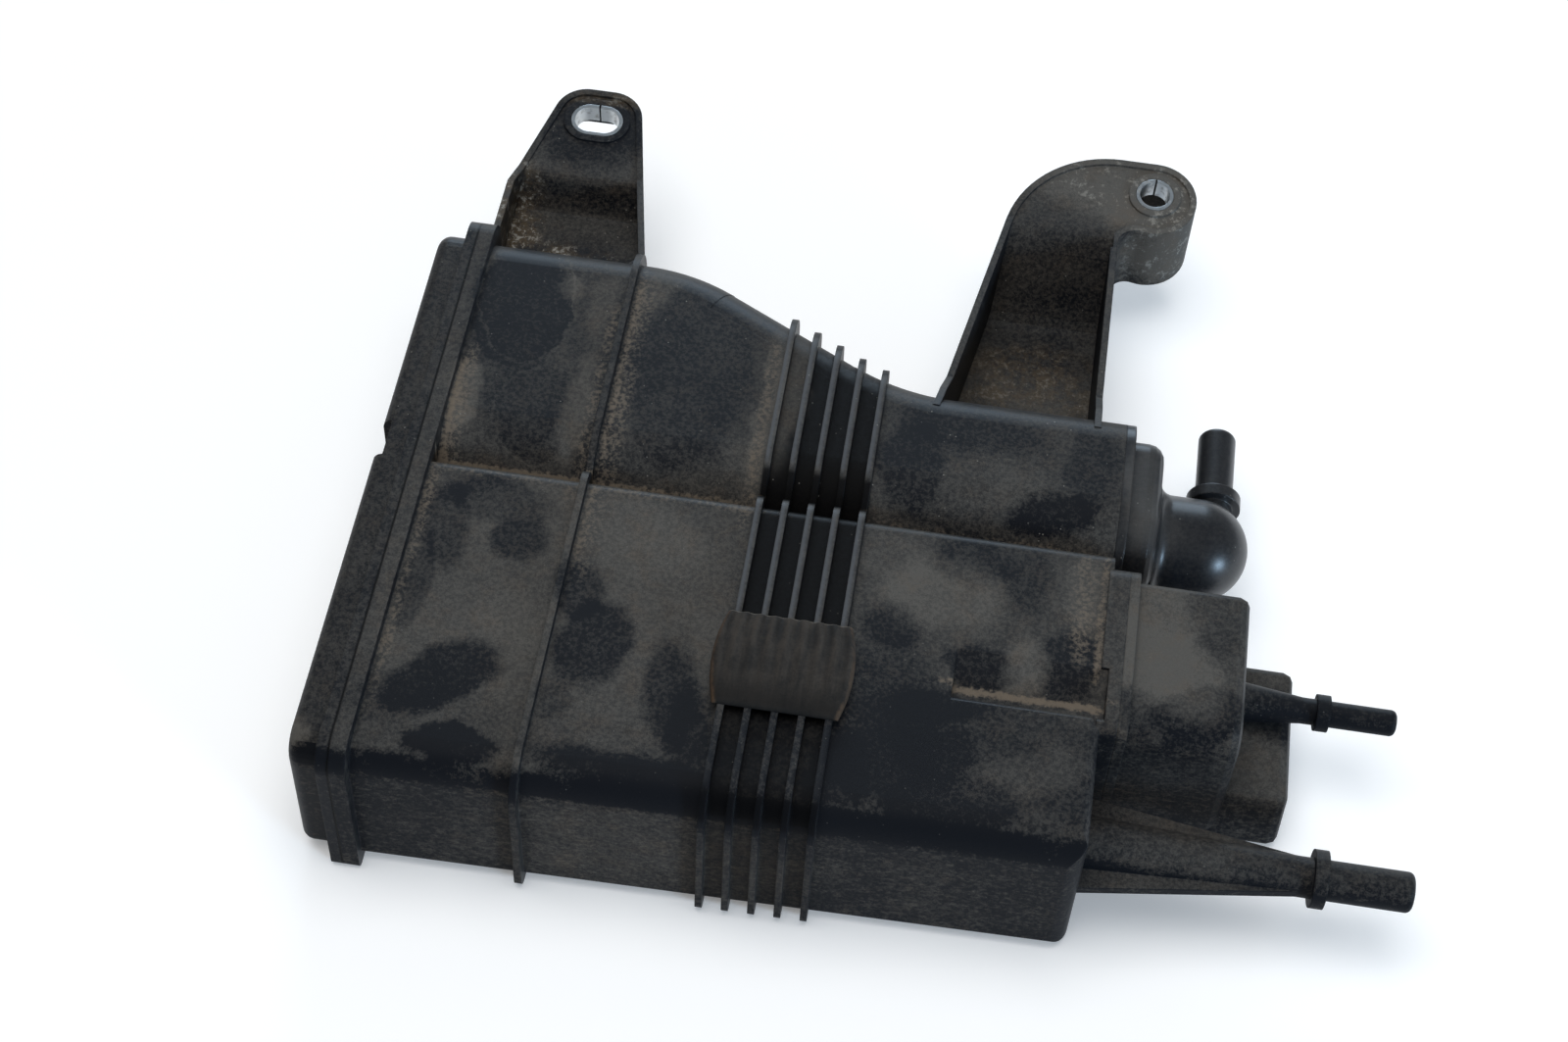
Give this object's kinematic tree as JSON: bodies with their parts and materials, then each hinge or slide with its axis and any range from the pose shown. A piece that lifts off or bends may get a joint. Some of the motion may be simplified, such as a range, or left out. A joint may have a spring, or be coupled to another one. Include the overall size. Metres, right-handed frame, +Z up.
{
  "type": "charcoal canister",
  "caption": "Moulded plastic fuel-vapour canister with a wide and a narrowing carbon chamber side by side, hose spigots for tank, purge and vent, ribs and bolt brackets.",
  "frame": {"origin": "middle of the outline in plan, on the plane of the ribs', fin's and weld flange's lower edges", "axes": "+X along the chambers towards the tank and purge spigots, +Y across the chambers towards the brackets, +Z up away from the lower edges"},
  "size_m": [0.3202, 0.2784, 0.0641],
  "materials": {
    "body_plastic": "satin blue-black moulding with brown-grey road dust",
    "end_cover_plastic": "satin blue-black moulding with brown-grey road dust",
    "port_cover_plastic": "satin blue-black moulding with brown-grey road dust",
    "vent_elbow_plastic": "smooth blue-black moulding, cleaner than the body",
    "sleeve_steel": "bright zinc-plated strip",
    "pad_rubber": "dusty brown-black rubber",
    "carbon": "packed activated-carbon pellets, shown as one block",
    "felt": "grey filter felt",
    "plate_plastic": "plain grey moulding",
    "spring_steel": "drawn spring wire"
  },
  "bodies": {
    "root": {"canister_body": "body_plastic", "end_cover": "end_cover_plastic", "port_cover": "port_cover_plastic", "vent_elbow": "vent_elbow_plastic", "oval_sleeve": "sleeve_steel", "round_sleeve": "sleeve_steel", "rib_pad": "pad_rubber", "front_carbon_bed": "carbon", "back_carbon_bed": "carbon", "neck_carbon_bed": "carbon", "front_port_felt": "felt", "front_plate_felt": "felt", "back_plate_felt": "felt", "neck_felt": "felt", "vent_felt": "felt", "front_pressure_plate": "plate_plastic", "back_pressure_plate": "plate_plastic", "front_outer_spring": "spring_steel", "front_inner_spring": "spring_steel", "back_inner_spring": "spring_steel", "back_outer_spring": "spring_steel"}
  },
  "joints": []
}
